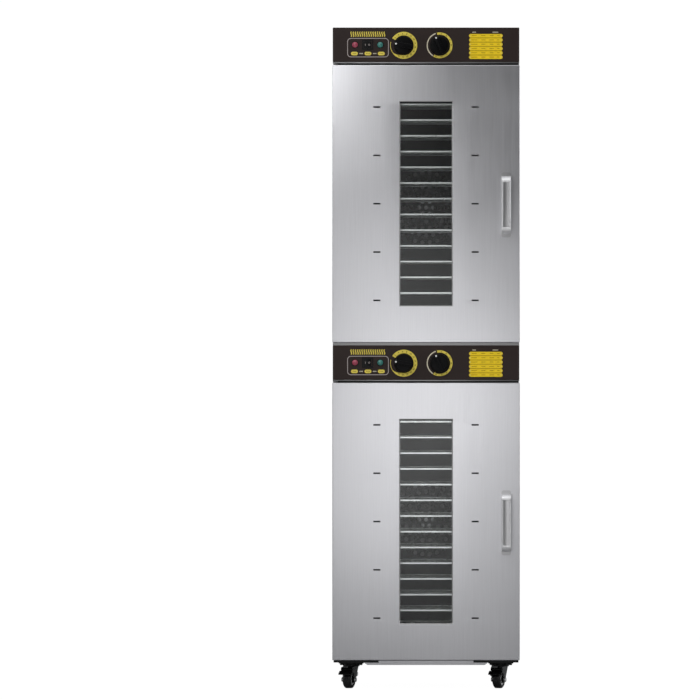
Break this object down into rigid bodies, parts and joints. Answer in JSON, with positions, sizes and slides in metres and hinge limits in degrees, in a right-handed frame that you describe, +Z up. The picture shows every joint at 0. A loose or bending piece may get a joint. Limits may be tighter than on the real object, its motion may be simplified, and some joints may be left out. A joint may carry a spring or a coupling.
{
  "type": "food dehydrator",
  "caption": "Tall free-standing food dehydrator: stacked steel drying cabinets with windowed doors, dial controls and tray racks, on swivel casters.",
  "frame": {"origin": "on the floor, under the middle of the unit's overall width and depth", "axes": "+X to the right as seen from the front, -Y to the front with the doors, +Z up"},
  "size_m": [0.45, 0.5594, 1.588],
  "materials": {
    "satin_steel": "satin, brushed upright",
    "inner_steel": "plain mill finish",
    "tray_wire": "bright welded wire",
    "bright_steel": "bright zinc plate",
    "handle_metal": "satin cast, bright rims",
    "fan_aluminium": "plain rolled",
    "brown_enamel": "smooth semi-gloss with printed dials",
    "black_enamel": "gloss black enamel",
    "motor_enamel": "satin black",
    "heater_sheath": "heat-tinted sheath",
    "window_glass": "clear tempered, smoke tint",
    "silicone_seal": "matt silicone",
    "knob_plastic": "satin moulded",
    "black_plastic": "satin moulded",
    "unit_plastic": "moulded phenolic",
    "loom_sleeve": "woven sleeve",
    "wheel_plastic": "moulded nylon tread",
    "red_lens": "clear red dome",
    "green_lens": "clear green dome"
  },
  "bodies": {
    "cabinets": {"casing_lower": "satin_steel", "casing_upper": "satin_steel", "chamber_liner_lower": "inner_steel", "chamber_liner_upper": "inner_steel", "tray_runners_lower": "inner_steel", "tray_runners_upper": "inner_steel", "trays_lower": "tray_wire", "trays_upper": "tray_wire", "fan_baffle_lower": "inner_steel", "fan_baffle_upper": "inner_steel", "fan_motor_lower": "motor_enamel", "fan_motor_upper": "motor_enamel", "heating_element_lower": "heater_sheath", "heating_element_upper": "heater_sheath", "rear_cover_lower": "satin_steel", "rear_cover_upper": "satin_steel", "control_fascia_lower": "brown_enamel", "control_fascia_upper": "brown_enamel", "drip_trays": "inner_steel", "timers": "unit_plastic", "thermostats": "unit_plastic", "switch_housings": "black_plastic", "pilot_lamps": "red_lens", "hinge_pins": "bright_steel", "magnetic_catches": "black_plastic", "power_inlets": "black_plastic", "wiring_looms": "loom_sleeve", "fasteners": "bright_steel", "base_pan": "satin_steel", "caster_brackets": "black_enamel", "caster_top_plates": "black_enamel", "stacking_plinth": "satin_steel"},
    "door_lower": {"door_skin_lower": "satin_steel", "door_liner_lower": "inner_steel", "window_glass_lower": "window_glass", "door_gasket_lower": "silicone_seal", "door_handle_lower": "handle_metal"},
    "timer_dial_lower": {"timer_knob_lower": "knob_plastic"},
    "thermostat_dial_lower": {"thermostat_knob_lower": "knob_plastic"},
    "rocker_lower": {"switch_rocker_lower": "black_plastic"},
    "fan_lower": {"fan_impeller_lower": "fan_aluminium"},
    "door_upper": {"door_skin_upper": "satin_steel", "door_liner_upper": "inner_steel", "window_glass_upper": "window_glass", "door_gasket_upper": "silicone_seal", "door_handle_upper": "handle_metal"},
    "timer_dial_upper": {"timer_knob_upper": "knob_plastic"},
    "thermostat_dial_upper": {"thermostat_knob_upper": "knob_plastic"},
    "rocker_upper": {"switch_rocker_upper": "black_plastic"},
    "fan_upper": {"fan_impeller_upper": "fan_aluminium"},
    "swivel_front_left": {"caster_fork_front_left": "black_enamel"},
    "wheel_front_left": {"caster_wheel_front_left": "wheel_plastic"},
    "swivel_front_right": {"caster_fork_front_right": "black_enamel"},
    "wheel_front_right": {"caster_wheel_front_right": "wheel_plastic"},
    "swivel_rear_left": {"caster_fork_rear_left": "black_enamel"},
    "wheel_rear_left": {"caster_wheel_rear_left": "wheel_plastic"},
    "swivel_rear_right": {"caster_fork_rear_right": "black_enamel"},
    "wheel_rear_right": {"caster_wheel_rear_right": "wheel_plastic"},
    "brake_front_left": {"brake_pedal_front_left": "black_enamel"},
    "brake_front_right": {"brake_pedal_front_right": "black_enamel"}
  },
  "joints": [
    {"name": "door_lower_hinge", "type": "hinge", "parent": "cabinets", "child": "door_lower", "pos_m": [-0.217, -0.2357, 0.402], "axis": [0, 0, -1], "range_deg": [0, 115]},
    {"name": "timer_lower_turn", "type": "hinge", "parent": "cabinets", "child": "timer_dial_lower", "pos_m": [-0.0535, -0.2477, 0.7822], "axis": [0, 1, 0], "range_deg": [0, 260]},
    {"name": "thermostat_lower_turn", "type": "hinge", "parent": "cabinets", "child": "thermostat_dial_lower", "pos_m": [0.0326, -0.2477, 0.7822], "axis": [0, 1, 0], "range_deg": [0, 236]},
    {"name": "power_lower_rock", "type": "hinge", "parent": "cabinets", "child": "rocker_lower", "pos_m": [-0.1402, -0.2427, 0.7835], "axis": [0, 0, 1], "range_deg": [0, 14]},
    {"name": "fan_lower_spin", "type": "hinge", "parent": "cabinets", "child": "fan_lower", "pos_m": [0, 0.2067, 0.399], "axis": [0, 1, 0], "continuous": true},
    {"name": "door_upper_hinge", "type": "hinge", "parent": "cabinets", "child": "door_upper", "pos_m": [-0.217, -0.2357, 1.165], "axis": [0, 0, -1], "range_deg": [0, 115]},
    {"name": "timer_upper_turn", "type": "hinge", "parent": "cabinets", "child": "timer_dial_upper", "pos_m": [-0.0535, -0.2477, 1.5452], "axis": [0, 1, 0], "range_deg": [0, 260]},
    {"name": "thermostat_upper_turn", "type": "hinge", "parent": "cabinets", "child": "thermostat_dial_upper", "pos_m": [0.0326, -0.2477, 1.5452], "axis": [0, 1, 0], "range_deg": [0, 236]},
    {"name": "power_upper_rock", "type": "hinge", "parent": "cabinets", "child": "rocker_upper", "pos_m": [-0.1402, -0.2427, 1.5465], "axis": [0, 0, 1], "range_deg": [0, 14]},
    {"name": "fan_upper_spin", "type": "hinge", "parent": "cabinets", "child": "fan_upper", "pos_m": [0, 0.2067, 1.162], "axis": [0, 1, 0], "continuous": true},
    {"name": "caster_front_left_swivel", "type": "hinge", "parent": "cabinets", "child": "swivel_front_left", "pos_m": [-0.18, -0.1803, 0.056], "axis": [0, 0, 1], "continuous": true},
    {"name": "wheel_front_left_spin", "type": "hinge", "parent": "swivel_front_left", "child": "wheel_front_left", "pos_m": [-0.18521, -0.19543, 0.021], "axis": [0.9455, -0.3256, 0], "continuous": true},
    {"name": "caster_front_right_swivel", "type": "hinge", "parent": "cabinets", "child": "swivel_front_right", "pos_m": [0.18, -0.1803, 0.056], "axis": [0, 0, 1], "continuous": true},
    {"name": "wheel_front_right_spin", "type": "hinge", "parent": "swivel_front_right", "child": "wheel_front_right", "pos_m": [0.17479, -0.19543, 0.021], "axis": [0.9455, -0.3256, 0], "continuous": true},
    {"name": "caster_rear_left_swivel", "type": "hinge", "parent": "cabinets", "child": "swivel_rear_left", "pos_m": [-0.18, 0.2157, 0.056], "axis": [0, 0, 1], "continuous": true},
    {"name": "wheel_rear_left_spin", "type": "hinge", "parent": "swivel_rear_left", "child": "wheel_rear_left", "pos_m": [-0.18521, 0.20057, 0.021], "axis": [0.9455, -0.3256, 0], "continuous": true},
    {"name": "caster_rear_right_swivel", "type": "hinge", "parent": "cabinets", "child": "swivel_rear_right", "pos_m": [0.18, 0.2157, 0.056], "axis": [0, 0, 1], "continuous": true},
    {"name": "wheel_rear_right_spin", "type": "hinge", "parent": "swivel_rear_right", "child": "wheel_rear_right", "pos_m": [0.17479, 0.20057, 0.021], "axis": [0.9455, -0.3256, 0], "continuous": true},
    {"name": "brake_front_left_press", "type": "hinge", "parent": "swivel_front_left", "child": "brake_front_left", "pos_m": [-0.18944, -0.20772, 0.046], "axis": [0.9455, -0.3256, 0], "range_deg": [0, 20]},
    {"name": "brake_front_right_press", "type": "hinge", "parent": "swivel_front_right", "child": "brake_front_right", "pos_m": [0.17056, -0.20772, 0.046], "axis": [0.9455, -0.3256, 0], "range_deg": [0, 20]}
  ]
}
